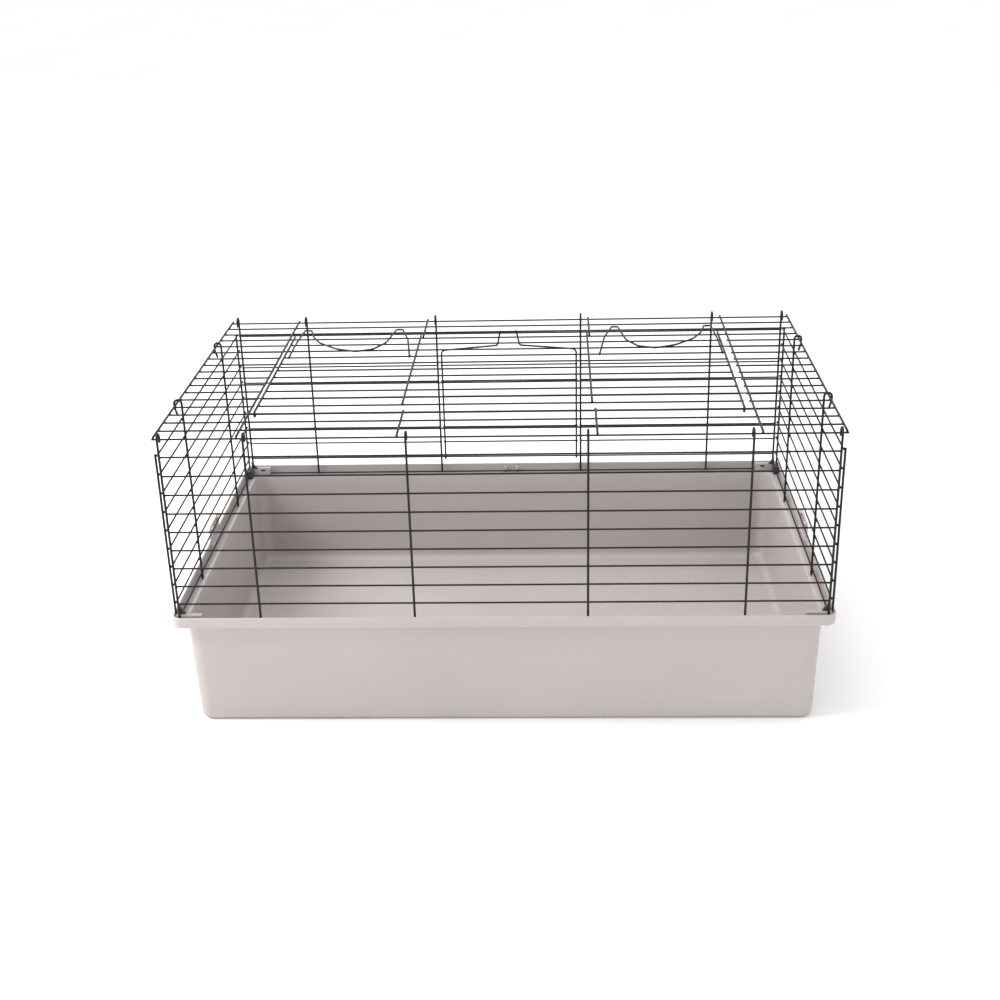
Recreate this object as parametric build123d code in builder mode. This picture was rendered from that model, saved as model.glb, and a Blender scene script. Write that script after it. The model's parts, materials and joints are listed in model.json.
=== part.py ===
"""Indoor rabbit hutch: a deep plastic tub with a lift-off wire top.

The wire top has a roof door with two sprung latch wires and a small door in
the back panel. Two plastic clips hinge on the short sides of the tub's rim.

Frame: millimetres, +Z up, +X to the right, the front faces -Y. The origin is
the centre of the tub's underside.
"""
from build123d import *
import os

os.makedirs("parts", exist_ok=True)

# ---------------------------------------------------------------- dimensions
# Tub
tub_bottom_x, tub_bottom_y = 961, 569    # outside, at the underside
tub_taper = 1.66                         # degrees that the walls lean outwards
body_height = 174.6                      # underside to the underside of the rim
wall = 3
rim_x, rim_y = 1002, 607                 # outside of the rim
ledge_z = body_height + wall             # the wire top stands on this ledge
lip_top_z = 192
tub_corner_r = 22
rim_corner_r = 16
bottom_edge_r = 9
floor_edge_r = 12
lip_edge_r = 1.2
back_lug = (5, 5, 10)                    # stops behind the back panel's lowest wire
back_lug_x = 10.5
back_lug_gap = 0.8

# Wire
bar_r = 1.4                              # thin horizontal wires
upright_r = 1.8                          # thick uprights and cross wires
back_frame_r = 1.6                       # frame of the back door
curl_gap = 0.35                          # between a curl and the wire inside it

# Wire top
roof_z = 476
roof_bar_half = 500                      # half the length of a roof bar
roof_half_y = 285                        # centre of the front and back roof bars
roof_rows = 18
first_level_drop = 25.5                  # roof bars to the highest bars of the walls
level_pitch = 30                         # between the bars of the wall panels
levels = 10
panel_upright_x = (130.5, 365, 489)      # uprights of the front and back panels
upright_out = 9.3                        # uprights stand outside the roof's end bars
side_upright_y = 143                     # hooked uprights of the side panels
side_end_upright_y = 289.9
side_bar_x = 492.2
side_bar_lift = 3                        # side bars clear the front and back ones
side_bar_half = 292.1
roof_edge_x = 497
roof_outer_cross_x = (-376, 378.6)
roof_inner_cross_x = 143.8
cross_overhang = 1.3
wire_foot_z = ledge_z + 0.4
first_door_row, last_door_row = 4, 13    # roof rows that the door carries
roof_stub_end_x = 375.5
hook_rise = 3                            # roof bar's centre to the hook's arc centre
hook_tail = 6                            # tail's end below the roof bar
side_hook_rise = 3.4
side_tail_end = (496.9, -17)             # x, and z from the roof bar

# Roof door
door_edge_x = (-368.3, 364.2)
door_inner_x = (-148.0, 139.6)
door_bar_overhang = 3.6
door_wire_end = 4                        # past the fixed bar that it rests on
curl_turn = 240                          # degrees of wire around the hinge bar

# Latch wires on the roof door
latch_r = 1.6
latch_gap = 0.35
latch_arch = 1.5                         # a loop rises this far over its roof bar
latch_bend = 1.5                         # the arch's top past that bar
latch_reach = 9                          # a loop's tip past that bar
latch_drop = 0.5                         # a loop's tip below the rest of the latch
latch_foot = 14                          # the feet end this far past their door bar

# Back door
back_leg_x = 122.7
back_bar_overhang = 2.6
back_corner_z = 418                      # upper corners of the frame
bump_foot = (20, 426.5)                  # the frame's hook rises from here
bump_top_x = 14.5
bump_inner_x = 12
bump_depth = 7.2                         # the hook reaches over the bar this far

# Corner brackets
bracket_leg_x, bracket_leg_y = 40, 26
bracket_thick = 8
bracket_top_z = 192.6
bracket_edge_r = 1.5
bracket_fit = 0.12                       # around the wires that the bracket holds
bracket_slot = (8, 1.5, 4)               # width, depth and height of a blind slot
bracket_slot_place = (26, 2)             # in from the corner, and above the middle
gusset_x, gusset_z = 11, 12
gusset_thick = 4

# Side clips
clip_half_y = 31
clip_pin_x = 499
clip_pin_rise = 5.8                      # above the ledge
clip_pin_r = 1.2
clip_barrel_r = 3
clip_plate = (497.6, 500.6)
clip_top_z = 216
clip_corner_r = 6
clip_nose = (3.6, 12, 9)                 # two catches on the inner face
clip_nose_sink = 0.5                     # their overlap with the plate
clip_nose_inset = 2                      # from the plate's ends and top
clip_slot = (9, 5)                       # moulding slot below each catch
clip_slot_gap = 0.6
notch_gap = 0.6
boss_y = 6
boss_rise = 4.4                          # above the pin
boss_gap = 1
clip_pin_play = 0.05
clip_pin_short = 0.5                     # each end stops inside its boss
boss_inner_x = 496.2

# ----------------------------------------------------------- derived places
roof_pitch = 2 * roof_half_y / (roof_rows - 1)
row_y = [roof_half_y - roof_pitch * i for i in range(roof_rows)]
level_z = [roof_z - first_level_drop - level_pitch * i for i in range(levels)]
cross_z = roof_z + bar_r + upright_r
upright_y = roof_half_y + upright_out
panel_bar_y = upright_y - upright_r - bar_r
panel_bar_half = panel_upright_x[2] + upright_r
hook_tail_y = roof_half_y - bar_r - upright_r
side_tail_x = roof_edge_x + 2 * upright_r
side_mid_upright_x = side_bar_x - bar_r - upright_r
side_end_upright_x = side_bar_x + bar_r + upright_r
lip_inner_x, lip_inner_y = rim_x / 2 - wall, rim_y / 2 - wall
door_curl_r = bar_r + curl_gap + upright_r
door_wire_z = roof_z + door_curl_r
door_bar_z = door_wire_z - upright_r - bar_r
hinge_row = last_door_row + 1
rest_row = first_door_row - 1
latch_z = door_bar_z + bar_r + latch_gap + latch_r
clip_pin_z = ledge_z + clip_pin_rise
boss_top_z = clip_pin_z + boss_rise
back_curl_r = bar_r + curl_gap + back_frame_r
back_leg_y = panel_bar_y + back_curl_r
back_door_bar_y = back_leg_y - back_frame_r - bar_r
back_hook_z = level_z[0] + back_curl_r
back_door_levels = range(2, 8)
back_gap_levels = range(1, 8)
back_gap_x = panel_upright_x[0] - upright_r


def straight_bars(places, length, radius, turn):
    """Round bars of one length, centred on each place and turned to lie along an axis."""
    with Locations(*places):
        Cylinder(radius, length, rotation=turn)


ALONG_X = (0, 90, 0)
ALONG_Y = (90, 0, 0)
UPRIGHT = (0, 0, 0)


def sweep_round(path, radius):
    """A round wire along a path, added to the part that is open."""
    with BuildSketch(Plane(origin=path @ 0, z_dir=path % 0)) as section:
        Circle(radius)
    sweep(section.sketch, path=path)


def hooked_upright(plane, leg, tail, arc_z, tail_points):
    """A wire that stands on the ledge and hooks over a roof wire.

    leg and tail are distances along the plane's first axis, away from the
    middle of the hutch.
    """
    middle = (leg + tail) / 2
    arc_r = abs(tail - leg) / 2
    with BuildLine(plane) as route:
        Line((leg, wire_foot_z), (leg, arc_z))
        ThreePointArc((leg, arc_z), (middle, arc_z + arc_r), (tail, arc_z))
        Polyline((tail, arc_z), *tail_points)
    sweep_round(route.wire(), upright_r)


# ----------------------------------------------------------------------- tub
with BuildPart() as tub:
    with BuildSketch():
        RectangleRounded(tub_bottom_x, tub_bottom_y, tub_corner_r)
    extrude(amount=body_height, taper=-tub_taper)
    fillet(tub.faces().sort_by(Axis.Z)[0].edges(), bottom_edge_r)
    with BuildSketch(Plane.XY.offset(body_height)):
        RectangleRounded(rim_x, rim_y, rim_corner_r)
    extrude(amount=lip_top_z - body_height)
    with BuildSketch(Plane.XY.offset(wall)):
        RectangleRounded(tub_bottom_x - 2 * wall, tub_bottom_y - 2 * wall, tub_corner_r - wall)
    extrude(amount=ledge_z - wall, taper=-tub_taper, mode=Mode.SUBTRACT)
    with BuildSketch(Plane.XY.offset(ledge_z)):
        RectangleRounded(2 * lip_inner_x, 2 * lip_inner_y, rim_corner_r - wall)
    extrude(amount=lip_top_z, mode=Mode.SUBTRACT)
    floor = tub.faces().filter_by(Axis.Z).sort_by(Axis.Z)[1]
    fillet(floor.edges(), floor_edge_r)
    fillet(tub.faces().filter_by(Axis.Z).sort_by(Axis.Z)[-1].edges(), lip_edge_r)
    for side in (-1, 1):
        # Notch for the clip, with a boss at each end that holds its pin.
        with Locations((side * (rim_x / 2 - wall / 2), 0, (ledge_z + lip_top_z) / 2)):
            Box(wall + 1, 2 * (clip_half_y + notch_gap), lip_top_z - ledge_z, mode=Mode.SUBTRACT)
        boss_x = rim_x / 2 - boss_inner_x
        for end in (-1, 1):
            boss_mid_y = end * (clip_half_y + boss_gap + boss_y / 2)
            with Locations((side * (rim_x / 2 - boss_x / 2), boss_mid_y, (ledge_z + boss_top_z) / 2)):
                Box(boss_x, boss_y, boss_top_z - ledge_z)
        with Locations((side * clip_pin_x, 0, clip_pin_z)):
            pin_space = 2 * (clip_half_y + boss_gap + boss_y)
            Cylinder(clip_pin_r + clip_pin_play, pin_space, rotation=ALONG_Y, mode=Mode.SUBTRACT)
        # Lug behind the lowest wire of the back panel.
        lug_y = panel_bar_y + bar_r + back_lug_gap + back_lug[1] / 2
        with Locations((side * back_lug_x, lug_y, ledge_z + back_lug[2] / 2)):
            Box(*back_lug)
tub.part.label = "tub"
export_step(tub.part, "parts/tub.step")

# ---------------------------------------------------------------------- roof
full_rows = [i for i in range(roof_rows) if not first_door_row <= i <= last_door_row]
cut_rows = range(first_door_row, last_door_row + 1)
with BuildPart() as roof_bars:
    straight_bars([(0, row_y[i], roof_z) for i in full_rows], 2 * roof_bar_half, bar_r, ALONG_X)
    stub = roof_bar_half - roof_stub_end_x
    for side in (-1, 1):
        middle = side * (roof_bar_half + roof_stub_end_x) / 2
        straight_bars([(middle, row_y[i], roof_z) for i in cut_rows], stub, bar_r, ALONG_X)
roof_bars.part.label = "roof_bars"
export_step(roof_bars.part, "parts/roof_bars.step")

with BuildPart() as roof_cross_wires:
    cross_half = roof_half_y + cross_overhang
    long_x = [-roof_edge_x, *roof_outer_cross_x, roof_edge_x]
    straight_bars([(x, 0, cross_z) for x in long_x], 2 * cross_half, upright_r, ALONG_Y)
    stub_end = row_y[rest_row] - cross_overhang
    stub = cross_half - stub_end
    middle = (cross_half + stub_end) / 2
    stubs = [(s * roof_inner_cross_x, t * middle, cross_z) for s in (-1, 1) for t in (-1, 1)]
    straight_bars(stubs, stub, upright_r, ALONG_Y)
roof_cross_wires.part.label = "roof_cross_wires"
export_step(roof_cross_wires.part, "parts/roof_cross_wires.step")

# --------------------------------------------------- front and back panels
with BuildPart() as front_bars:
    straight_bars([(0, -panel_bar_y, z) for z in level_z], 2 * panel_bar_half, bar_r, ALONG_X)
front_bars.part.label = "front_bars"
export_step(front_bars.part, "parts/front_bars.step")

with BuildPart() as back_bars:
    whole = [z for i, z in enumerate(level_z) if i not in back_gap_levels]
    straight_bars([(0, panel_bar_y, z) for z in whole], 2 * panel_bar_half, bar_r, ALONG_X)
    for side in (-1, 1):
        middle = side * (panel_bar_half + back_gap_x) / 2
        beside_door = [(middle, panel_bar_y, level_z[i]) for i in back_gap_levels]
        straight_bars(beside_door, panel_bar_half - back_gap_x, bar_r, ALONG_X)
back_bars.part.label = "back_bars"
export_step(back_bars.part, "parts/back_bars.step")


def panel_uprights(facing):
    """Hooked uprights of a long panel; facing is -1 at the front and 1 at the back."""
    for x in panel_upright_x:
        for side in (-1, 1):
            plane = Plane(origin=(side * x, 0, 0), x_dir=(0, facing, 0), z_dir=(facing, 0, 0))
            tail_end = (hook_tail_y, roof_z - hook_tail)
            hooked_upright(plane, upright_y, hook_tail_y, roof_z + hook_rise, [tail_end])


with BuildPart() as front_uprights:
    panel_uprights(-1)
front_uprights.part.label = "front_uprights"
export_step(front_uprights.part, "parts/front_uprights.step")

with BuildPart() as back_uprights:
    panel_uprights(1)
back_uprights.part.label = "back_uprights"
export_step(back_uprights.part, "parts/back_uprights.step")

# --------------------------------------------------------------- side panels
side_level_z = [z + side_bar_lift for z in level_z]


def side_bars(facing):
    """Bars of a short panel; facing is -1 at the left and 1 at the right."""
    places = [(facing * side_bar_x, 0, z) for z in side_level_z]
    straight_bars(places, 2 * side_bar_half, bar_r, ALONG_Y)


def side_uprights(facing):
    """Two hooked uprights inside the bars and two plain ones outside them."""
    for y in (-side_upright_y, side_upright_y):
        plane = Plane(origin=(0, y, 0), x_dir=(facing, 0, 0), z_dir=(0, -facing, 0))
        tail_end = (side_tail_end[0], roof_z + side_tail_end[1])
        tail = [(side_tail_x, roof_z - side_bar_lift), tail_end]
        hooked_upright(plane, side_mid_upright_x, side_tail_x, roof_z + side_hook_rise, tail)
    top_z = side_level_z[0] + upright_r
    middle_z = (wire_foot_z + top_z) / 2
    ends = [(facing * side_end_upright_x, s * side_end_upright_y, middle_z) for s in (-1, 1)]
    straight_bars(ends, top_z - wire_foot_z, upright_r, UPRIGHT)


with BuildPart() as left_bars:
    side_bars(-1)
left_bars.part.label = "left_bars"
export_step(left_bars.part, "parts/left_bars.step")

with BuildPart() as right_bars:
    side_bars(1)
right_bars.part.label = "right_bars"
export_step(right_bars.part, "parts/right_bars.step")

with BuildPart() as left_uprights:
    side_uprights(-1)
left_uprights.part.label = "left_uprights"
export_step(left_uprights.part, "parts/left_uprights.step")

with BuildPart() as right_uprights:
    side_uprights(1)
right_uprights.part.label = "right_uprights"
export_step(right_uprights.part, "parts/right_uprights.step")

# ----------------------------------------------------------- corner brackets
for name, sx, sy in (
    ("bracket_front_left", -1, -1),
    ("bracket_front_right", 1, -1),
    ("bracket_back_left", -1, 1),
    ("bracket_back_right", 1, 1),
):
    outer_x, outer_y = side_end_upright_x, upright_y
    height = bracket_top_z - wire_foot_z
    mid_z = (bracket_top_z + wire_foot_z) / 2
    with BuildPart() as bracket:
        with Locations((sx * (outer_x - bracket_leg_x / 2), sy * (outer_y - bracket_thick / 2), mid_z)):
            Box(bracket_leg_x, bracket_thick, height)
        with Locations((sx * (outer_x - bracket_thick / 2), sy * (outer_y - bracket_leg_y / 2), mid_z)):
            Box(bracket_thick, bracket_leg_y, height)
        fillet(bracket.edges().filter_by(Axis.Z), bracket_edge_r)
        # Gusset that rises inside the corner.
        inner_y = panel_bar_y - bar_r - bracket_fit
        inner_x = side_bar_x - bar_r - bracket_fit
        with BuildSketch(Plane(origin=(0, sy * inner_y, 0), x_dir=(sx, 0, 0), z_dir=(0, -sx, 0))):
            Polygon(
                (inner_x, bracket_top_z - 1),
                (inner_x, bracket_top_z + gusset_z),
                (inner_x - gusset_x, bracket_top_z - 1),
                align=None,
            )
        extrude(amount=gusset_thick * sx * sy)
        # Channels for the wires that the bracket holds.
        with Locations((sx * (outer_x - bracket_leg_x), sy * panel_bar_y, level_z[-1])):
            Cylinder(bar_r + bracket_fit, 4 * bracket_leg_x, rotation=ALONG_X, mode=Mode.SUBTRACT)
        with Locations((sx * side_bar_x, sy * (outer_y - bracket_leg_y), side_level_z[-1])):
            Cylinder(bar_r + bracket_fit, 4 * bracket_leg_y, rotation=ALONG_Y, mode=Mode.SUBTRACT)
        with Locations(
            (sx * panel_upright_x[2], sy * upright_y, mid_z),
            (sx * side_end_upright_x, sy * side_end_upright_y, mid_z),
        ):
            Cylinder(upright_r + bracket_fit, 2 * height, mode=Mode.SUBTRACT)
        # Blind slot in the inner face of the long leg.
        slot_x = sx * (outer_x - bracket_slot_place[0])
        slot_y = sy * (outer_y - bracket_thick + bracket_slot[1] / 2)
        with Locations((slot_x, slot_y, mid_z + bracket_slot_place[1])):
            Box(*bracket_slot, mode=Mode.SUBTRACT)
    bracket.part.label = name
    export_step(bracket.part, f"parts/{name}.step")

# ----------------------------------------------------------------- roof door
with BuildPart() as roof_door_bars:
    door_left = door_edge_x[0] - door_bar_overhang
    door_right = door_edge_x[1] + door_bar_overhang
    middle = (door_left + door_right) / 2
    places = [(middle, row_y[i], door_bar_z) for i in cut_rows]
    straight_bars(places, door_right - door_left, bar_r, ALONG_X)
roof_door_bars.part.label = "roof_door_bars"
export_step(roof_door_bars.part, "parts/roof_door_bars.step")

with BuildPart() as roof_door_frame:
    hinge_y = row_y[hinge_row]
    back_end = row_y[rest_row] + door_wire_end
    for x in door_edge_x:
        with BuildLine(Plane.YZ.offset(x)) as route:
            Line((back_end, door_wire_z), (hinge_y, door_wire_z))
            CenterArc((hinge_y, roof_z), door_curl_r, 90, curl_turn)
        sweep_round(route.wire(), upright_r)
    front_end = row_y[last_door_row] - door_wire_end
    inner = [(x, (back_end + front_end) / 2, door_wire_z) for x in door_inner_x]
    straight_bars(inner, back_end - front_end, upright_r, ALONG_Y)
roof_door_frame.part.label = "roof_door_frame"
export_step(roof_door_frame.part, "parts/roof_door_frame.step")


def latch_route(side):
    """Corners of a latch wire, from its outer foot to its inner foot.

    Two narrow loops arch over a fixed roof bar and come down behind it.
    Between them the wire sags towards the door's middle as a finger grip.
    """
    bend_y = row_y[2] + latch_bend
    tip_y = row_y[2] + latch_reach
    foot_y = row_y[6] - latch_foot
    top_z = latch_z + latch_arch
    low_z = latch_z - latch_drop
    flat = [
        (360.2, foot_y, latch_z),
        (360.2, row_y[4], latch_z),
        (355.6, bend_y, top_z),
        (355.4, tip_y, low_z),
        (344.0, tip_y, low_z),
        (343.8, bend_y, top_z),
        (335, 186, latch_z),
        (320.5, 154, latch_z),
        (287, 119, latch_z),
        (252, 104, latch_z),
        (224, 115, latch_z),
        (205, 150, latch_z),
        (194.2, bend_y, top_z),
        (194.0, tip_y, low_z),
        (183.0, tip_y, low_z),
        (182.8, bend_y, top_z),
        (169, row_y[4] + 16, latch_z),
        (157.5, foot_y, latch_z),
    ]
    return [(side * x, y, z) for x, y, z in flat]


loop_radii = [4, 5.2, 5.2, 4]
latch_radii = [30, *loop_radii, 40, 50, 40, 14, 16, 50, *loop_radii, 40]
for name, side in (("roof_latch_left", -1), ("roof_latch_right", 1)):
    with BuildPart() as latch:
        with BuildLine() as route:
            FilletPolyline(*latch_route(side), radius=latch_radii)
        sweep_round(route.wire(), latch_r)
    latch.part.label = name
    export_step(latch.part, f"parts/{name}.step")

# ----------------------------------------------------------------- back door
with BuildPart() as back_door_bars:
    length = 2 * (back_leg_x + back_bar_overhang)
    places = [(0, back_door_bar_y, level_z[i]) for i in back_door_levels]
    straight_bars(places, length, bar_r, ALONG_X)
back_door_bars.part.label = "back_door_bars"
export_step(back_door_bars.part, "parts/back_door_bars.step")

with BuildPart() as back_door_frame:
    hinge_z = level_z[8]
    half = [
        (back_leg_x, back_leg_y, hinge_z),
        (back_leg_x, back_leg_y, back_corner_z),
        (bump_foot[0], back_leg_y, bump_foot[1]),
        (bump_top_x, back_leg_y, back_hook_z),
        (bump_inner_x, back_leg_y - bump_depth, back_hook_z),
    ]
    points = half + [(-x, y, z) for x, y, z in reversed(half)]
    radii = [8, 5, 3.2, 3]
    with BuildLine() as route:
        FilletPolyline(*points, radius=radii + radii[::-1])
    sweep_round(route.wire(), back_frame_r)
    for side in (-1, 1):
        with BuildLine(Plane.YZ.offset(side * back_leg_x)) as curl:
            CenterArc((panel_bar_y, hinge_z), back_curl_r, 0, -curl_turn)
        sweep_round(curl.wire(), back_frame_r)
back_door_frame.part.label = "back_door_frame"
export_step(back_door_frame.part, "parts/back_door_frame.step")

# ---------------------------------------------------------- side clips, pins
for name, side in (("left", -1), ("right", 1)):
    with BuildPart() as clip:
        plate_x = side * sum(clip_plate) / 2
        plate_thick = clip_plate[1] - clip_plate[0]
        with Locations((plate_x, 0, (clip_pin_z + clip_top_z) / 2)):
            Box(plate_thick, 2 * clip_half_y, clip_top_z - clip_pin_z)
        fillet(clip.edges().filter_by(Axis.X).group_by(Axis.Z)[-1], clip_corner_r)
        with Locations((side * clip_pin_x, 0, clip_pin_z)):
            Cylinder(clip_barrel_r, 2 * clip_half_y, rotation=ALONG_Y)
        nose_x = side * (clip_plate[0] - clip_nose[0] / 2 + clip_nose_sink)
        nose_y = clip_half_y - clip_nose[1] / 2 - clip_nose_inset
        nose_z = clip_top_z - clip_nose_inset - clip_nose[2] / 2
        with Locations((nose_x, -nose_y, nose_z), (nose_x, nose_y, nose_z)):
            Box(clip_nose[0] + 2 * clip_nose_sink, clip_nose[1], clip_nose[2])
        slot_z = nose_z - clip_nose[2] / 2 - clip_slot[1] / 2 - clip_slot_gap
        with Locations((plate_x, -nose_y, slot_z), (plate_x, nose_y, slot_z)):
            Box(2 * plate_thick, clip_slot[0], clip_slot[1], mode=Mode.SUBTRACT)
        with Locations((side * clip_pin_x, 0, clip_pin_z)):
            Cylinder(clip_pin_r + clip_pin_play, 4 * clip_half_y, rotation=ALONG_Y, mode=Mode.SUBTRACT)
    clip.part.label = f"side_clip_{name}"
    export_step(clip.part, f"parts/side_clip_{name}.step")

    with BuildPart() as clip_pin:
        with Locations((side * clip_pin_x, 0, clip_pin_z)):
            pin_half = clip_half_y + boss_gap + boss_y - clip_pin_short
            Cylinder(clip_pin_r, 2 * pin_half, rotation=ALONG_Y)
    clip_pin.part.label = f"clip_pin_{name}"
    export_step(clip_pin.part, f"parts/clip_pin_{name}.step")
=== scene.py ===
"""Looks of the rabbit hutch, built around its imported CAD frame.

Every CAD node is replaced by a detailed mesh that rides on the same body:
the wires are tubes with domed ends and weld beads, and the tub, brackets
and clips are moulded shapes with rounded edges. Metres, +Z up, front at -Y.
"""
import json
import math
import random

import bmesh
import bpy
import numpy as np
from mathutils import Matrix, Vector


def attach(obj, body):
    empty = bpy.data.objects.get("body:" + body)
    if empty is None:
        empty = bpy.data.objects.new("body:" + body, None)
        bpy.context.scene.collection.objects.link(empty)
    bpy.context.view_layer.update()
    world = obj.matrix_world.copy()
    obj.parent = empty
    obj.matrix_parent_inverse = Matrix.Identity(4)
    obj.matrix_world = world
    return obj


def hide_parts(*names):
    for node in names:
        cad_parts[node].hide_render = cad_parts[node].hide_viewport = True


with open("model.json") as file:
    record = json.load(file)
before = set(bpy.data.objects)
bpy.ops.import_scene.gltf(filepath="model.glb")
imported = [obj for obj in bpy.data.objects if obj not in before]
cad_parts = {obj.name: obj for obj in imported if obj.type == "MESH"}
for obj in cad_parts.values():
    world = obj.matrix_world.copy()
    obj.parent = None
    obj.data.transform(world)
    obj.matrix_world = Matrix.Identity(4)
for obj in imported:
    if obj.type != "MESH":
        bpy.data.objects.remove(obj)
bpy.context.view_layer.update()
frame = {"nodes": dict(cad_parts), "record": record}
nodes = frame["nodes"]
body_of_node = {
    n: body
    for body, members in frame["record"]["behaviour"]["bodies"].items()
    for n in members
}
slot_of_node = {s["node"]: s["material_slot"] for s in frame["record"]["subparts"]}
rng = random.Random(7)
MM = 0.001


# ------------------------------------------------------------------ materials
class Nodes:
    """A material under construction: adds nodes and joins them."""

    def __init__(self, name):
        self.material = bpy.data.materials.new(name)
        self.material.use_nodes = True
        self.tree = self.material.node_tree
        self.tree.nodes.clear()
        self.out = self.add("ShaderNodeOutputMaterial")
        self.shader = self.add("ShaderNodeBsdfPrincipled")
        self.link(self.shader, "BSDF", self.out, "Surface")
        self.place = self.add("ShaderNodeTexCoord")

    def add(self, kind, **values):
        node = self.tree.nodes.new(kind)
        for key, value in values.items():
            setattr(node, key, value)
        return node

    def link(self, a, output, b, entry):
        self.tree.links.new(a.outputs[output], b.inputs[entry])

    def set(self, **sockets):
        for key, value in sockets.items():
            self.shader.inputs[key.replace("_", " ")].default_value = value

    def noise(self, scale, detail=3.0, rough=0.5, stretch=(1, 1, 1)):
        mapping = self.add("ShaderNodeMapping")
        mapping.inputs["Scale"].default_value = stretch
        self.link(self.place, "Object", mapping, "Vector")
        node = self.add("ShaderNodeTexNoise")
        node.inputs["Scale"].default_value = scale
        node.inputs["Detail"].default_value = detail
        node.inputs["Roughness"].default_value = rough
        self.link(mapping, "Vector", node, "Vector")
        return node

    def ramp(self, source, stops, output="Fac"):
        node = self.add("ShaderNodeValToRGB")
        elements = node.color_ramp.elements
        while len(elements) < len(stops):
            elements.new(0.5)
        for element, (place, colour) in zip(elements, stops):
            element.position = place
            if not hasattr(colour, "__len__"):
                colour = (colour, colour, colour)
            element.color = (*colour, 1)
        self.link(source, output, node, "Fac")
        return node

    def mix(self, factor, a, b, blend="MIX"):
        """Colour b over colour a; a and b are nodes with a Color output."""
        node = self.add("ShaderNodeMix", data_type="RGBA", blend_type=blend)
        if isinstance(factor, (int, float)):
            node.inputs["Factor"].default_value = factor
        else:
            self.tree.links.new(factor.outputs[0], node.inputs["Factor"])
        self.tree.links.new(colour_of(a), node.inputs["A"])
        self.tree.links.new(colour_of(b), node.inputs["B"])
        return node

    def bump(self, source, strength, distance, below=None):
        node = self.add("ShaderNodeBump")
        node.inputs["Strength"].default_value = strength
        node.inputs["Distance"].default_value = distance
        self.link(source, "Fac", node, "Height")
        if below is not None:
            self.link(below, "Normal", node, "Normal")
        return node


def colour_of(node):
    """The colour output of a ramp, colour or mix node."""
    return node.outputs[2 if node.bl_idname == "ShaderNodeMix" else "Color"]


def shade(colour, k):
    """The colour made lighter or darker by the factor k."""
    return tuple(c * k for c in colour)


def moulded_plastic(name, colour, roughness, grain_scale, grain_depth):
    """Injection-moulded polypropylene: fine grain, soft flow marks, worn edges."""
    m = Nodes(name)
    cloud = m.noise(3.5, 4, 0.55)
    flow = m.noise(6.0, 3, 0.5, stretch=(0.4, 0.4, 2.5))
    base = m.ramp(cloud, [(0.3, shade(colour, 0.955)), (0.7, shade(colour, 1.03))])
    marks = m.ramp(flow, [(0.35, 0.96), (0.65, 1.0)])
    tone = m.mix(1.0, base, marks, "MULTIPLY")
    worn = m.add("ShaderNodeNewGeometry")
    edge = m.ramp(worn, [(0.505, 0.0), (0.56, 1.0)], "Pointiness")
    light = m.add("ShaderNodeRGB")
    light.outputs[0].default_value = (*shade(colour, 1.16), 1)
    broken = m.noise(60, 2)
    edge_mask = m.mix(1.0, edge, m.ramp(broken, [(0.35, 0.0), (0.65, 0.55)]), "MULTIPLY")
    mask = m.add("ShaderNodeSeparateColor")
    m.tree.links.new(colour_of(edge_mask), mask.inputs["Color"])
    final = m.mix(mask, tone, light)
    m.tree.links.new(colour_of(final), m.shader.inputs["Base Color"])
    rough = m.ramp(m.noise(14, 5, 0.6), [(0.3, roughness - 0.05), (0.7, roughness + 0.07)])
    m.link(rough, "Color", m.shader, "Roughness")
    grain = m.noise(grain_scale, 4, 0.65)
    fine = m.bump(grain, 0.35, grain_depth)
    wavy = m.bump(m.noise(9, 2, 0.4), 0.25, 0.0009, fine)
    m.link(wavy, "Normal", m.shader, "Normal")
    m.set(IOR=1.49, Subsurface_Weight=0.04, Subsurface_Scale=0.004)
    m.set(Subsurface_Radius=(1.0, 0.7, 0.5))
    return m.material


def coated_wire(name, colour, roughness):
    """Powder-coated steel wire: orange peel, thin spots that shine greyer."""
    m = Nodes(name)
    cloud = m.noise(30, 4, 0.6)
    base = m.ramp(cloud, [(0.3, shade(colour, 0.8)), (0.7, shade(colour, 1.25))])
    specks = m.ramp(m.noise(900, 2, 0.6), [(0.66, 0.0), (0.74, 1.0)])
    steel = m.add("ShaderNodeRGB")
    steel.outputs[0].default_value = (0.16, 0.16, 0.17, 1)
    mask = m.add("ShaderNodeSeparateColor")
    m.link(specks, "Color", mask, "Color")
    half = m.add("ShaderNodeMath", operation="MULTIPLY")
    m.link(mask, 0, half, 0)
    half.inputs[1].default_value = 0.35
    final = m.mix(half, base, steel)
    m.tree.links.new(colour_of(final), m.shader.inputs["Base Color"])
    rough = m.ramp(m.noise(120, 4, 0.6), [(0.3, roughness - 0.07), (0.7, roughness + 0.09)])
    m.link(rough, "Color", m.shader, "Roughness")
    peel = m.bump(m.noise(700, 3, 0.55), 0.30, 0.00012)
    m.link(peel, "Normal", m.shader, "Normal")
    m.set(IOR=1.5, Metallic=0.0, Specular_IOR_Level=0.2, Coat_Weight=0.06, Coat_Roughness=0.22)
    return m.material


def bright_steel(name):
    """Drawn steel pin: fine rings along the length and light scratches."""
    m = Nodes(name)
    base = m.ramp(m.noise(60, 4), [(0.3, (0.42, 0.42, 0.43)), (0.7, (0.60, 0.60, 0.61))])
    m.link(base, "Color", m.shader, "Base Color")
    rough = m.ramp(m.noise(300, 3), [(0.3, 0.22), (0.7, 0.42)])
    m.link(rough, "Color", m.shader, "Roughness")
    rings = m.bump(m.noise(900, 2, stretch=(0.05, 1, 0.05)), 0.3, 0.00005)
    m.link(rings, "Normal", m.shader, "Normal")
    m.set(Metallic=1.0)
    return m.material


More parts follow.
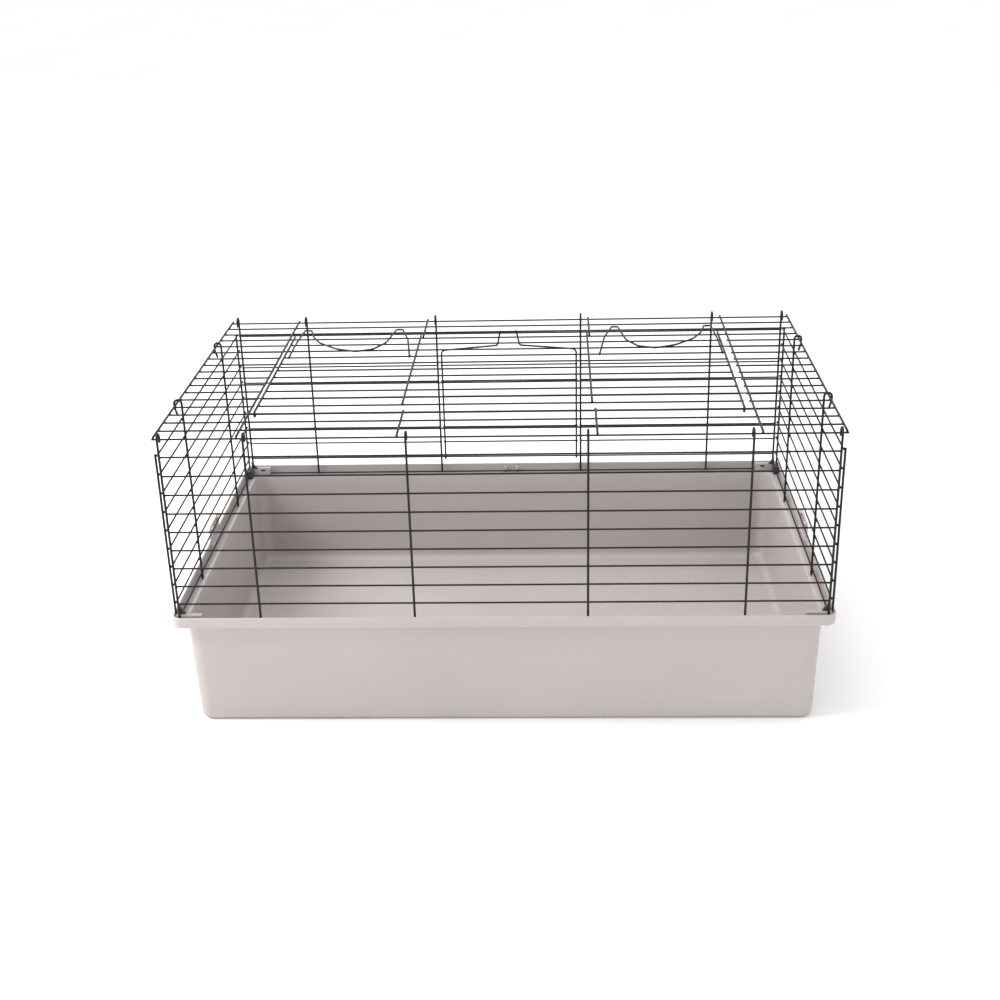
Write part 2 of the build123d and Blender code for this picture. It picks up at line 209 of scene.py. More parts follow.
def studio_floor(name):
    """Plain pale sweep with the faintest mottling."""
    m = Nodes(name)
    base = m.ramp(m.noise(1.2, 2), [(0.3, 0.93), (0.7, 0.95)])
    m.link(base, "Color", m.shader, "Base Color")
    m.set(Roughness=0.75, Specular_IOR_Level=0.2)
    return m.material


TUB_BEIGE = (0.460, 0.416, 0.405)
WIRE_GREY = (0.010, 0.0105, 0.0125)
BRACKET_GREY = (0.40, 0.36, 0.36)
BRACKET_BLACK = (0.030, 0.030, 0.036)
materials = {
    "tub_plastic": moulded_plastic("tub_beige", TUB_BEIGE, 0.42, 1400, 0.00006),
    "clip_plastic": moulded_plastic("clip_beige", shade(TUB_BEIGE, 1.06), 0.40, 1800, 0.00005),
    "bracket_plastic": moulded_plastic("bracket_grey", BRACKET_GREY, 0.42, 1800, 0.00005),
    "coated_wire": coated_wire("wire_dark_grey", WIRE_GREY, 0.42),
    "pin_steel": bright_steel("pin_steel"),
}
bracket_dark = moulded_plastic("bracket_dark", BRACKET_BLACK, 0.38, 1800, 0.00005)

# ------------------------------------------------------- sizes, in millimetres
BAR_R, UPRIGHT_R, FRAME_R, LATCH_R = 1.4, 1.8, 1.6, 1.6
CURL_GAP, CURL_TURN = 0.35, 240      # hinge curls: gap to the bar inside, and degrees
ROOF_Z, ROOF_BAR_HALF, ROOF_HALF_Y, ROWS = 476, 500, 285, 18
STUB_END_X = 375.5                   # where the roof bars stop beside the door
PANEL_UPRIGHT_X = (130.5, 365, 489)
UPRIGHT_Y = ROOF_HALF_Y + 9.3
HOOK_RISE, HOOK_TAIL = 3, 6
SIDE_UPRIGHT_Y, SIDE_END_Y, SIDE_BAR_X, SIDE_LIFT, SIDE_HALF = 143, 289.9, 492.2, 3, 292.1
EDGE_X, OUTER_CROSS_X, INNER_CROSS_X, OVERHANG = 497, (-376, 378.6), 143.8, 1.3
SIDE_HOOK_RISE, SIDE_TAIL_END = 3.4, (496.9, -17)
DOOR_ROWS, LATCH_ROW, LATCH_FOOT_ROW, HINGE_ROW = range(4, 14), 2, 6, 14
DOOR_EDGE_X, DOOR_INNER_X, DOOR_OVERHANG, DOOR_END = (-368.3, 364.2), (-148.0, 139.6), 3.6, 4
BODY_H, WALL, RIM_X, RIM_Y, LIP_TOP = 174.6, 3, 1002, 607, 192
LEDGE_Z = BODY_H + WALL
FOOT_Z = LEDGE_Z + 0.4               # wire ends and brackets stand just clear of the ledge
PITCH = 2 * ROOF_HALF_Y / (ROWS - 1)
ROW_Y = [ROOF_HALF_Y - PITCH * i for i in range(ROWS)]
FIRST_DROP, LEVEL_PITCH, LEVELS = 25.5, 30, 10
LEVEL_Z = [ROOF_Z - FIRST_DROP - LEVEL_PITCH * i for i in range(LEVELS)]
CROSS_Z = ROOF_Z + BAR_R + UPRIGHT_R
PANEL_BAR_Y = UPRIGHT_Y - UPRIGHT_R - BAR_R
PANEL_BAR_HALF = PANEL_UPRIGHT_X[2] + UPRIGHT_R
SIDE_MID_X = SIDE_BAR_X - BAR_R - UPRIGHT_R
SIDE_END_X = SIDE_BAR_X + BAR_R + UPRIGHT_R
DOOR_CURL_R = BAR_R + CURL_GAP + UPRIGHT_R
DOOR_WIRE_Z = ROOF_Z + DOOR_CURL_R
DOOR_BAR_Z = DOOR_WIRE_Z - UPRIGHT_R - BAR_R
LATCH_Z = DOOR_BAR_Z + BAR_R + CURL_GAP + LATCH_R
LATCH_OUT_X, LATCH_IN_X, LATCH_FOOT = 360.2, 157.9, 14
LATCH_BEND, LATCH_REACH, LATCH_ARCH, LATCH_DROP = 1.5, 9, 1.5, 0.5
BACK_LEG_X, BACK_OVERHANG, BACK_CORNER_Z = 122.7, 2.6, 418
BACK_GAP_LEVELS, BACK_DOOR_LEVELS, BACK_HINGE_LEVEL = range(1, 8), range(2, 8), 8
BACK_CURL_R = BAR_R + CURL_GAP + FRAME_R
BACK_LEG_Y = PANEL_BAR_Y + BACK_CURL_R
BACK_BAR_Y = BACK_LEG_Y - FRAME_R - BAR_R
BACK_HOOK_Z = LEVEL_Z[0] + BACK_CURL_R
BACK_GAP_X = PANEL_UPRIGHT_X[0] - UPRIGHT_R
BUMP_FOOT, BUMP_TOP_X, BUMP_INNER_X, BUMP_DEPTH = (20, 426.5), 14.5, 12, 7.2


# ------------------------------------------------------------- mesh building
class Shape:
    """Vertices and faces of one piece, in millimetres."""

    def __init__(self):
        self.verts, self.faces, self.kinds = [], [], []

    def add(self, verts, faces, kind=0):
        base = len(self.verts)
        self.verts.extend(tuple(v) for v in verts)
        self.faces.extend(tuple(base + i for i in f) for f in faces)
        self.kinds.extend([kind] * len(faces))

    def mesh(self, name):
        data = bpy.data.meshes.new(name)
        data.from_pydata([tuple(c * MM for c in v) for v in self.verts], [], self.faces)
        data.polygons.foreach_set("material_index", self.kinds)
        data.update()
        return data


ROUND_SHARP, MOULDED_SHARP, TUB_SHARP = 50, 35, 38  # degrees below which faces shade as one


def place(data, node, extra=(), sharp=MOULDED_SHARP):
    """Puts a mesh in the scene as the looks of a CAD node."""
    piece = bpy.data.objects.new(node + "_look", data)
    bpy.context.scene.collection.objects.link(piece)
    data.polygons.foreach_set("use_smooth", [True] * len(data.polygons))
    data.set_sharp_from_angle(angle=math.radians(sharp))
    data.materials.append(materials[slot_of_node[node]])
    for material in extra:
        data.materials.append(material)
    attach(piece, body_of_node[node])
    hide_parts(node)


DOME = ((0, 0.5), (0.15, 0.84))      # a wire's end: distance from the tip and size, in radii


def tube(shape, path, radius, sides=12, smooth_end=0.45):
    """A round wire along a path, with slightly domed ends."""
    path = np.array(path, float)
    ways = np.gradient(path, axis=0)
    ways /= np.linalg.norm(ways, axis=1)[:, None]
    dome = [*DOME, (smooth_end, 1.0)]
    rings = [(path[0] + ways[0] * d * radius, ways[0], scale) for d, scale in dome]
    rings += [(p, w, 1.0) for p, w in zip(path[1:-1], ways[1:-1])]
    rings += [(path[-1] - ways[-1] * d * radius, ways[-1], scale) for d, scale in reversed(dome)]
    aside = np.cross(ways[0], (0.3, 0.5, 0.81))
    verts, faces = [], []
    for centre, way, scale in rings:
        aside = aside - way * np.dot(aside, way)
        aside /= np.linalg.norm(aside)
        third = np.cross(way, aside)
        for k in range(sides):
            a = 2 * math.pi * k / sides
            verts.append(centre + (aside * math.cos(a) + third * math.sin(a)) * radius * scale)
    for i in range(len(rings) - 1):
        for k in range(sides):
            n = (k + 1) % sides
            faces.append((i * sides + k, i * sides + n, (i + 1) * sides + n, (i + 1) * sides + k))
    faces.append(tuple(reversed(range(sides))))
    last = (len(rings) - 1) * sides
    faces.append(tuple(last + k for k in range(sides)))
    shape.add(verts, faces)


WIRE_STEP, WANDER = 24, 0.12         # spacing of a straight wire's rings, and its waviness


def straight(shape, start, end, radius):
    """A straight wire, as true as drawn wire is: it wanders by a tenth of a millimetre."""
    start, end = np.array(start, float), np.array(end, float)
    length = np.linalg.norm(end - start)
    way = (end - start) / length
    across = np.cross(way, (0.2, 0.55, 0.81))
    across /= np.linalg.norm(across)
    other = np.cross(way, across)
    count = max(3, int(length / WIRE_STEP))
    phases = [rng.uniform(0, 6.3) for _ in range(4)]
    path = []
    for i in range(count + 1):
        t = i / count
        fade = math.sin(math.pi * t)
        a = WANDER * fade * math.sin(phases[0] + 5 * t + phases[1])
        b = WANDER * fade * math.sin(phases[2] + 7 * t + phases[3])
        path.append(start + way * length * t + across * a + other * b)
    tube(shape, path, radius)


def rounded(corners, radii, step):
    """A polyline whose corners are arcs of the given radii, drawn in steps of some degrees."""
    corners = [np.array(c, float) for c in corners]
    points = [corners[0]]
    for a, b, c, r in zip(corners, corners[1:], corners[2:], radii):
        u, v = a - b, c - b
        u, v = u / np.linalg.norm(u), v / np.linalg.norm(v)
        half = math.acos(max(-1, min(1, float(np.dot(u, v))))) / 2
        turn = math.pi - 2 * half
        centre = b + (u + v) / np.linalg.norm(u + v) * r / math.sin(half)
        first, last = b + u * r / math.tan(half) - centre, b + v * r / math.tan(half) - centre
        count = max(2, int(math.degrees(turn) / step))
        for i in range(count + 1):
            t = i / count
            k = math.sin(turn)
            points.append(
                centre + first * math.sin((1 - t) * turn) / k + last * math.sin(t * turn) / k
                if k > 0.02
                else centre + first + (last - first) * t
            )
    points.append(corners[-1])
    return points


def arc(centre, u, v, radius, start, turn, count):
    """Points of an arc about centre, in the plane of the unit vectors u and v."""
    centre, u, v = (np.array(x, float) for x in (centre, u, v))
    points = []
    for i in range(count + 1):
        a = math.radians(start + turn * i / count)
        points.append(centre + (u * math.cos(a) + v * math.sin(a)) * radius)
    return points


bead = bmesh.new()
bmesh.ops.create_icosphere(bead, subdivisions=2, radius=1)
BEAD_VERTS = [tuple(v.co) for v in bead.verts]
BEAD_FACES = [tuple(v.index for v in f.verts) for f in bead.faces]
bead.free()


def weld(shape, where, size):
    """The small melted bead where two wires cross; size is its half extents."""
    k = rng.uniform(0.88, 1.08)
    verts = [[where[i] + v[i] * size[i] * k for i in range(3)] for v in BEAD_VERTS]
    shape.add(verts, BEAD_FACES)


BEAD_XY, BEAD_XZ, BEAD_YZ = (2.3, 2.3, 0.75), (2.3, 0.75, 2.3), (0.75, 2.3, 2.3)
BEAD_END, BEAD_LATCH = (0.75, 1.9, 2.2), (1.6, 2.4, 0.6)


def slab(low, high, bevel, tilt=None):
    """A box with rounded edges, as (verts, faces); tilt moves its vertices."""
    work = bmesh.new()
    bmesh.ops.create_cube(work, size=1)
    for v in work.verts:
        v.co = Vector([low[i] + (v.co[i] + 0.5) * (high[i] - low[i]) for i in range(3)])
        if tilt:
            v.co = Vector(tilt(v.co))
    bmesh.ops.bevel(work, geom=work.edges[:], offset=bevel, segments=3, profile=0.6, affect="EDGES")
    bmesh.ops.recalc_face_normals(work, faces=work.faces[:])
    work.verts.index_update()
    verts = [tuple(v.co) for v in work.verts]
    faces = [tuple(v.index for v in f.verts) for f in work.faces]
    work.free()
    return verts, faces


def prism(outline, axis, low, high, bevel):
    """An outline extruded along an axis, with rounded edges."""
    work = bmesh.new()
    others = [i for i in range(3) if i != axis]
    rim = []
    for a, b in outline:
        co = [0, 0, 0]
        co[others[0]], co[others[1]], co[axis] = a, b, low
        rim.append(work.verts.new(co))
    face = work.faces.new(rim)
    out = bmesh.ops.extrude_face_region(work, geom=[face])
    moved = [g for g in out["geom"] if isinstance(g, bmesh.types.BMVert)]
    shift = [0, 0, 0]
    shift[axis] = high - low
    bmesh.ops.translate(work, verts=moved, vec=shift)
    bmesh.ops.recalc_face_normals(work, faces=work.faces[:])
    ends = [e for e in work.edges if len({round(v.co[axis], 4) for v in e.verts}) == 1]
    bmesh.ops.bevel(work, geom=ends, offset=bevel, segments=2, profile=0.6, affect="EDGES")
    bmesh.ops.recalc_face_normals(work, faces=work.faces[:])
    work.verts.index_update()
    verts = [tuple(v.co) for v in work.verts]
    faces = [tuple(v.index for v in f.verts) for f in work.faces]
    work.free()
    return verts, faces


def carve(data, cutters):
    """The mesh with closed cutters, given in millimetres, taken away."""
    host = bpy.data.objects.new("carve_host", data)
    bpy.context.scene.collection.objects.link(host)
    tools = []
    for verts, faces in cutters:
        part = Shape()
        part.add(verts, faces)
        tool = bpy.data.objects.new("carve_tool", part.mesh("carve_tool"))
        bpy.context.scene.collection.objects.link(tool)
        step = host.modifiers.new("cut", "BOOLEAN")
        step.operation, step.solver, step.object = "DIFFERENCE", "EXACT", tool
        tools.append(tool)
    bpy.context.view_layer.update()
    result = bpy.data.meshes.new_from_object(host.evaluated_get(bpy.context.evaluated_depsgraph_get()))
    for thing in [host, *tools]:
        old = thing.data
        bpy.data.objects.remove(thing)
        bpy.data.meshes.remove(old)
    return result


# ------------------------------------------------------------------ wire top
def wires(node, draw):
    """Draws the wires of a node and puts them in the scene."""
    shape = Shape()
    draw(shape)
    place(shape.mesh(node + "_look"), node, sharp=ROUND_SHARP)


def draw_roof_bars(s):
    for i, y in enumerate(ROW_Y):
        if i in DOOR_ROWS:
            for side in (-1, 1):
                straight(s, (side * ROOF_BAR_HALF, y, ROOF_Z), (side * STUB_END_X, y, ROOF_Z), BAR_R)
        else:
            straight(s, (-ROOF_BAR_HALF, y, ROOF_Z), (ROOF_BAR_HALF, y, ROOF_Z), BAR_R)


def draw_roof_cross(s):
    half = ROOF_HALF_Y + OVERHANG
    bead_z = ROOF_Z + BAR_R
    stub_rows = ROW_Y[:DOOR_ROWS[0]]
    stub_end = stub_rows[-1] - OVERHANG
    for x in (-EDGE_X, *OUTER_CROSS_X, EDGE_X):
        straight(s, (x, -half, CROSS_Z), (x, half, CROSS_Z), UPRIGHT_R)
        for y in ROW_Y:
            weld(s, (x, y, bead_z), BEAD_XY)
    for side in (-1, 1):
        for end in (-1, 1):
            x = side * INNER_CROSS_X
            straight(s, (x, end * half, CROSS_Z), (x, end * stub_end, CROSS_Z), UPRIGHT_R)
            for y in stub_rows:
                weld(s, (x, end * y, bead_z), BEAD_XY)


def draw_panel_bars(facing):
    def draw(s):
        y = facing * PANEL_BAR_Y
        for i, z in enumerate(LEVEL_Z):
            if facing > 0 and i in BACK_GAP_LEVELS:
                for side in (-1, 1):
                    straight(s, (side * PANEL_BAR_HALF, y, z), (side * BACK_GAP_X, y, z), BAR_R)
            else:
                straight(s, (-PANEL_BAR_HALF, y, z), (PANEL_BAR_HALF, y, z), BAR_R)
    return draw


def hooked(s, to_xyz, leg, tail, arc_z, ends):
    """A hooked wire; to_xyz turns a distance outwards and a height into a place."""
    middle, r = (leg + tail) / 2, abs(leg - tail) / 2
    turn = -180 if leg < tail else 180
    start = 180 if leg < tail else 0
    curve = arc((middle, 0, arc_z), (1, 0, 0), (0, 0, 1), r, start, turn, 14)
    steps = 16
    rise = [(leg, FOOT_Z + (arc_z - FOOT_Z) * i / steps) for i in range(steps)]
    flat = rise + [(p[0], p[2]) for p in curve]
    flat += [tuple(e) for e in ends]
    tube(s, [to_xyz(a, z) for a, z in flat], UPRIGHT_R, sides=14)


def draw_panel_uprights(facing):
    def draw(s):
        tail = ROOF_HALF_Y - BAR_R - UPRIGHT_R
        for x in (side * x for side in (-1, 1) for x in PANEL_UPRIGHT_X):
            def to_xyz(a, z, x=x):
                return (x, facing * a, z)
            hooked(s, to_xyz, UPRIGHT_Y, tail, ROOF_Z + HOOK_RISE, [(tail, ROOF_Z - HOOK_TAIL)])
            for z in LEVEL_Z:
                weld(s, (x, facing * (UPRIGHT_Y - UPRIGHT_R), z), BEAD_XZ)
    return draw


def draw_side_bars(facing):
    def draw(s):
        for z in LEVEL_Z:
            x = facing * SIDE_BAR_X
            straight(s, (x, -SIDE_HALF, z + SIDE_LIFT), (x, SIDE_HALF, z + SIDE_LIFT), BAR_R)
    return draw


def draw_side_uprights(facing):
    def draw(s):
        tail = EDGE_X + 2 * UPRIGHT_R
        ends = [(tail, ROOF_Z - SIDE_LIFT), (SIDE_TAIL_END[0], ROOF_Z + SIDE_TAIL_END[1])]
        for y in (-SIDE_UPRIGHT_Y, SIDE_UPRIGHT_Y):
            def to_xyz(a, z, y=y):
                return (facing * a, y, z)
            hooked(s, to_xyz, SIDE_MID_X, tail, ROOF_Z + SIDE_HOOK_RISE, ends)
            for z in LEVEL_Z:
                weld(s, (facing * (SIDE_BAR_X - BAR_R), y, z + SIDE_LIFT), BEAD_YZ)
        for y in (-SIDE_END_Y, SIDE_END_Y):
            x = facing * SIDE_END_X
            top = LEVEL_Z[0] + SIDE_LIFT + UPRIGHT_R
            straight(s, (x, y, FOOT_Z), (x, y, top), UPRIGHT_R)
            for z in LEVEL_Z:
                weld(s, (facing * (SIDE_BAR_X + BAR_R), y, z + SIDE_LIFT), BEAD_END)
    return draw


wires("roof_bars", draw_roof_bars)
wires("roof_cross_wires", draw_roof_cross)
for node_name, facing in (("front", -1), ("back", 1)):
    wires(node_name + "_bars", draw_panel_bars(facing))
    wires(node_name + "_uprights", draw_panel_uprights(facing))
for node_name, facing in (("left", -1), ("right", 1)):
    wires(node_name + "_bars", draw_side_bars(facing))
    wires(node_name + "_uprights", draw_side_uprights(facing))


# --------------------------------------------------------------- roof door
def draw_door_bars(s):
    left, right = DOOR_EDGE_X[0] - DOOR_OVERHANG, DOOR_EDGE_X[1] + DOOR_OVERHANG
    for i in DOOR_ROWS:
        straight(s, (left, ROW_Y[i], DOOR_BAR_Z), (right, ROW_Y[i], DOOR_BAR_Z), BAR_R)


def draw_door_frame(s):
    back_end, hinge_y = ROW_Y[DOOR_ROWS[0] - 1] + DOOR_END, ROW_Y[HINGE_ROW]
    front_end = ROW_Y[DOOR_ROWS[-1]] - DOOR_END
    for x in DOOR_EDGE_X:
        run = [(x, back_end + (hinge_y - back_end) * i / 16, DOOR_WIRE_Z) for i in range(16)]
        curl = arc((x, hinge_y, ROOF_Z), (0, 1, 0), (0, 0, 1), DOOR_CURL_R, 90, CURL_TURN, 18)
        tube(s, run + [tuple(p) for p in curl], UPRIGHT_R, sides=14)
    for x in DOOR_INNER_X:
        straight(s, (x, front_end, DOOR_WIRE_Z), (x, back_end, DOOR_WIRE_Z), UPRIGHT_R)
    for x in DOOR_EDGE_X + DOOR_INNER_X:
        for i in DOOR_ROWS:
            weld(s, (x, ROW_Y[i], DOOR_BAR_Z + BAR_R), BEAD_XY)


def draw_latch(side):
    """A lyre of wire: feet on the door's bars, two loops that arch over a roof bar."""
    bend_y, tip_y = ROW_Y[LATCH_ROW] + LATCH_BEND, ROW_Y[LATCH_ROW] + LATCH_REACH
    foot_y = ROW_Y[LATCH_FOOT_ROW] - LATCH_FOOT
    top_z, low_z = LATCH_Z + LATCH_ARCH, LATCH_Z - LATCH_DROP
    leg_y = ROW_Y[DOOR_ROWS[0]]
    route = [
        (LATCH_OUT_X, foot_y, LATCH_Z), (LATCH_OUT_X, leg_y, LATCH_Z),
        (355.6, bend_y, top_z), (355.4, tip_y, low_z),
        (344.0, tip_y, low_z), (343.8, bend_y, top_z),
        (335, 186, LATCH_Z), (320.5, 154, LATCH_Z), (287, 119, LATCH_Z),
        (252, 104, LATCH_Z), (224, 115, LATCH_Z), (205, 150, LATCH_Z),
        (194.2, bend_y, top_z), (194.0, tip_y, low_z),
        (183.0, tip_y, low_z), (182.8, bend_y, top_z),
        (169, leg_y + 16, LATCH_Z), (157.5, foot_y, LATCH_Z),
    ]
    loop = [4, 5.2, 5.2, 4]
    radii = [30, *loop, 40, 50, 40, 14, 16, 50, *loop, 40]

    def draw(s):
        tube(s, rounded([(side * x, y, z) for x, y, z in route], radii, 9), LATCH_R, sides=14)
        for x in (LATCH_OUT_X, LATCH_IN_X):
            weld(s, (side * x, ROW_Y[LATCH_FOOT_ROW], LATCH_Z - LATCH_R + 0.3), BEAD_LATCH)
    return draw


wires("roof_door_bars", draw_door_bars)
wires("roof_door_frame", draw_door_frame)
wires("roof_latch_left", draw_latch(-1))
wires("roof_latch_right", draw_latch(1))


# --------------------------------------------------------------- back door
def draw_back_bars(s):
    half = BACK_LEG_X + BACK_OVERHANG
    for i in BACK_DOOR_LEVELS:
        straight(s, (-half, BACK_BAR_Y, LEVEL_Z[i]), (half, BACK_BAR_Y, LEVEL_Z[i]), BAR_R)


def draw_back_frame(s):
    hinge_z, y = LEVEL_Z[BACK_HINGE_LEVEL], BACK_LEG_Y
    half = [
        (BACK_LEG_X, y, hinge_z), (BACK_LEG_X, y, BACK_CORNER_Z), (BUMP_FOOT[0], y, BUMP_FOOT[1]),
        (BUMP_TOP_X, y, BACK_HOOK_Z), (BUMP_INNER_X, y - BUMP_DEPTH, BACK_HOOK_Z),
    ]
    bends = [8, 5, 3.2, 3]
    path = rounded(half + [(-a, b, c) for a, b, c in reversed(half)], bends + bends[::-1], 12)
    centre = (0, PANEL_BAR_Y, hinge_z)
    curl = arc(centre, (0, 1, 0), (0, 0, 1), BACK_CURL_R, 0, -CURL_TURN, 16)
    before = [(BACK_LEG_X, p[1], p[2]) for p in reversed(curl[1:])]
    after = [(-BACK_LEG_X, p[1], p[2]) for p in curl[1:]]
    tube(s, before + [tuple(p) for p in path] + after, FRAME_R, sides=14)
    for side in (-1, 1):
        for i in BACK_DOOR_LEVELS:
            weld(s, (side * BACK_LEG_X, BACK_BAR_Y + BAR_R, LEVEL_Z[i]), BEAD_XZ)


wires("back_door_bars", draw_back_bars)
wires("back_door_frame", draw_back_frame)

# ---------------------------------------------------------------- brackets
BRACKET_X, BRACKET_Y, BRACKET_THICK, BRACKET_TOP = 40, 26, 8, 192.6
BRACKET_EDGE, GUSSET_EDGE = 0.8, 0.4
SLOT_X, SLOT_HALF, SLOT_DEPTH, SLOT_HIGH, SLOT_EDGE = 26, 4, 1.5, 4, 0.3
GUSSET_X, GUSSET_Z, GUSSET_THICK, GUSSET_TIP = 11, 12, 4, 1.2
WIRE_CLEAR = 0.12                    # gap between a gusset and the wires beside it
SKIN = 0.02                          # keeps the painted-shade strip's faces off the grey ones


def join(data, shape):
    """The mesh with a shape's verts and faces added to it."""
    added = shape.mesh("added")
    work = bmesh.new()
    work.from_mesh(data)
    work.from_mesh(added)
    work.to_mesh(data)
    work.free()
    bpy.data.meshes.remove(added)
    return data


def draw_bracket(node, sx, sy):
    """A grey plate along the panel with a dark leg and gusset; painted shade in its slot and at its inner
    end.
    """
    def span(a, b, sign):
        return (a, b) if sign > 0 else (-b, -a)

    def box_at(x, y, z, bevel):
        xs, ys = span(*x, sx), span(*y, sy)
        return slab((xs[0], ys[0], z[0]), (xs[1], ys[1], z[1]), bevel)

    x_in, y_in = SIDE_END_X - BRACKET_X, UPRIGHT_Y - BRACKET_Y
    y_face = UPRIGHT_Y - BRACKET_THICK
    slot_x = SIDE_END_X - SLOT_X
    slot_z = (FOOT_Z + BRACKET_TOP) / 2
    slot_span = (slot_z, slot_z + SLOT_HIGH)
    plate = Shape()
    plate.add(*box_at((x_in, SIDE_END_X), (y_face, UPRIGHT_Y), (FOOT_Z, BRACKET_TOP), BRACKET_EDGE))
    slot_y = (y_face - 1, y_face + SLOT_DEPTH)
    slot = box_at((slot_x - SLOT_HALF, slot_x + SLOT_HALF), slot_y, slot_span, SLOT_EDGE)
    data = carve(plate.mesh(node + "_look"), [slot])

    gusset_x = SIDE_BAR_X - BAR_R - WIRE_CLEAR
    gusset_y = PANEL_BAR_Y - BAR_R - WIRE_CLEAR
    outline = [
        (sx * gusset_x, BRACKET_TOP - 1),
        (sx * gusset_x, BRACKET_TOP + GUSSET_Z),
        (sx * (gusset_x - GUSSET_TIP), BRACKET_TOP + GUSSET_Z),
        (sx * (gusset_x - GUSSET_X), BRACKET_TOP - 1),
    ]
    leg_x = (SIDE_END_X - BRACKET_THICK, SIDE_END_X - 0.05)
    ys = span(gusset_y - GUSSET_THICK, gusset_y, sy)
    dark = Shape()
    dark.add(*box_at(leg_x, (y_in, UPRIGHT_Y - 1), (FOOT_Z, BRACKET_TOP - 0.1), BRACKET_EDGE), kind=1)
    dark.add(*prism(outline, 1, ys[0], ys[1], GUSSET_EDGE), kind=1)
    slot_x_span = (slot_x - SLOT_HALF, slot_x + SLOT_HALF)
    # Painted shade: a thin dark sheet on the floor of the slot.
    dark.add(*box_at(slot_x_span, (y_face + 1.2, y_face + 1.6), slot_span, 0.1), kind=1)
    # Painted shade: a thin dark strip just inside the plate's inner end, showing along its edge.
    end_shade_x, end_shade_y = (x_in + SKIN, x_in + 1.2), (y_face + SKIN, y_face + 5)
    dark.add(*box_at(end_shade_x, end_shade_y, (FOOT_Z + 3, BRACKET_TOP - 4), 0.15), kind=1)
    place(join(data, dark), node, extra=[bracket_dark])


for node_name, sx, sy in (
    ("bracket_front_left", -1, -1),
    ("bracket_front_right", 1, -1),
    ("bracket_back_left", -1, 1),
    ("bracket_back_right", 1, 1),
):
    draw_bracket(node_name, sx, sy)


# --------------------------------------------------------------------- tub
BASE_X, BASE_Y, BASE_CORNER, LEAN_ANGLE = 961, 569, 22, 1.66
RIM_CORNER = 16
FOOT_FILLET, RIM_FILLET, RIM_EDGE, LIP_EDGE = 9, 2.5, 1.0, 1.2
MOUTH_FILLET, FLOOR_FILLET = 1.5, 12
FLAT_STEPS = (0.12, 0.45, 0.8)       # rings that close the underside and the floor
WALL_STEPS = 8
NOTCH_HALF, NOTCH_X, NOTCH_TOP, NOTCH_EDGE = 31.6, (497, 504), 200, 0.5
BOSS_X, BOSS_Y, BOSS_TOP, BOSS_EDGE = (496.2, 500.95), (32, 38), 187.8, 0.5
LUG_X, LUG_Y, LUG_HALF, LUG_TALL, LUG_EDGE = 10.5, PANEL_BAR_Y + BAR_R + 0.8 + 2.5, 2.5, 10, 0.6
SUNK = 0.4                           # how far bosses and lugs reach into the ledge


CORNER_STEPS, SIDE_STEPS = 10, (26, 16)  # a ring's points round a corner, along X and along Y


def ring(half_x, half_y, r, z):
    """Points of a rounded rectangle, counted the same for every size."""
    points = []
    spots = [(1, 1, 0), (-1, 1, 90), (-1, -1, 180), (1, -1, 270)]
    for k, (sx, sy, start) in enumerate(spots):
        cx, cy = sx * (half_x - r), sy * (half_y - r)
        for i in range(CORNER_STEPS + 1):
            a = math.radians(start + 90 * i / CORNER_STEPS)
            points.append((cx + r * math.cos(a), cy + r * math.sin(a), z))
        nx, ny, nstart = spots[(k + 1) % 4]
        a = math.radians(nstart)
        goal = (nx * (half_x - r) + r * math.cos(a), ny * (half_y - r) + r * math.sin(a))
        steps = SIDE_STEPS[k % 2]
        last = points[-1]
        for i in range(1, steps):
            t = i / steps
            points.append((last[0] + (goal[0] - last[0]) * t, last[1] + (goal[1] - last[1]) * t, z))
    return points


def quarter(step, first=0):
    """1 - sin and 1 - cos of the angles up to 90 degrees, which draw a fillet of radius 1."""
    for a in range(first, 91, step):
        yield 1 - math.sin(math.radians(a)), 1 - math.cos(math.radians(a))


def tub_rings():
    """The tub's section as rings: up the outside, over the lip and ledge, down inside."""
    lean = math.tan(math.radians(LEAN_ANGLE))
    bx, by = BASE_X / 2, BASE_Y / 2
    hx, hy = RIM_X / 2, RIM_Y / 2
    ix, iy, ir = bx - WALL, by - WALL, BASE_CORNER - WALL

    def outer(z, out=0):
        grow = lean * z + out
        return ring(bx + grow, by + grow, BASE_CORNER + grow, z)

    def lip(z, inset=0):
        return ring(hx - inset, hy - inset, RIM_CORNER - inset, z)

    def inner(z, out=0):
        grow = lean * (z - WALL) + out
        return ring(ix + grow, iy + grow, max(3, ir + grow), z)

    rings = [ring(bx * k, by * k, BASE_CORNER * k, 0) for k in FLAT_STEPS]
    rings += [outer(FOOT_FILLET * c, -FOOT_FILLET * s) for s, c in quarter(15)]
    rise = BODY_H - RIM_FILLET - FOOT_FILLET
    rings += [outer(FOOT_FILLET + rise * k / WALL_STEPS) for k in range(1, WALL_STEPS + 1)]
    for s, c in quarter(30, 30):
        z = BODY_H - RIM_FILLET * s
        grow = lean * z + RIM_FILLET * c
        rings.append(ring(bx + grow, by + grow, BASE_CORNER + 4, z))
    rings += [lip(BODY_H + RIM_EDGE * c, RIM_EDGE * s) for s, c in quarter(30)]
    rings.append(lip((BODY_H + LIP_TOP) / 2))
    rings += [lip(LIP_TOP - LIP_EDGE * s, LIP_EDGE * c) for s, c in quarter(30)]
    rings += [lip(LIP_TOP - LIP_EDGE * c, WALL - LIP_EDGE * s) for s, c in quarter(30)]
    rings += [lip(LEDGE_Z + LIP_EDGE * s, WALL + LIP_EDGE * c) for s, c in quarter(30)]
    rings += [inner(LEDGE_Z - MOUTH_FILLET * c, MOUTH_FILLET * s) for s, c in quarter(30)]
    top = LEDGE_Z - MOUTH_FILLET
    drop = top - WALL - FLOOR_FILLET
    rings += [inner(top - drop * k / WALL_STEPS) for k in range(1, WALL_STEPS + 1)]
    rings += [inner(WALL + FLOOR_FILLET * s, -FLOOR_FILLET * c) for s, c in quarter(13, 12)]
    rings += [ring(ix * k, iy * k, ir * k, WALL) for k in reversed(FLAT_STEPS)]
    return rings


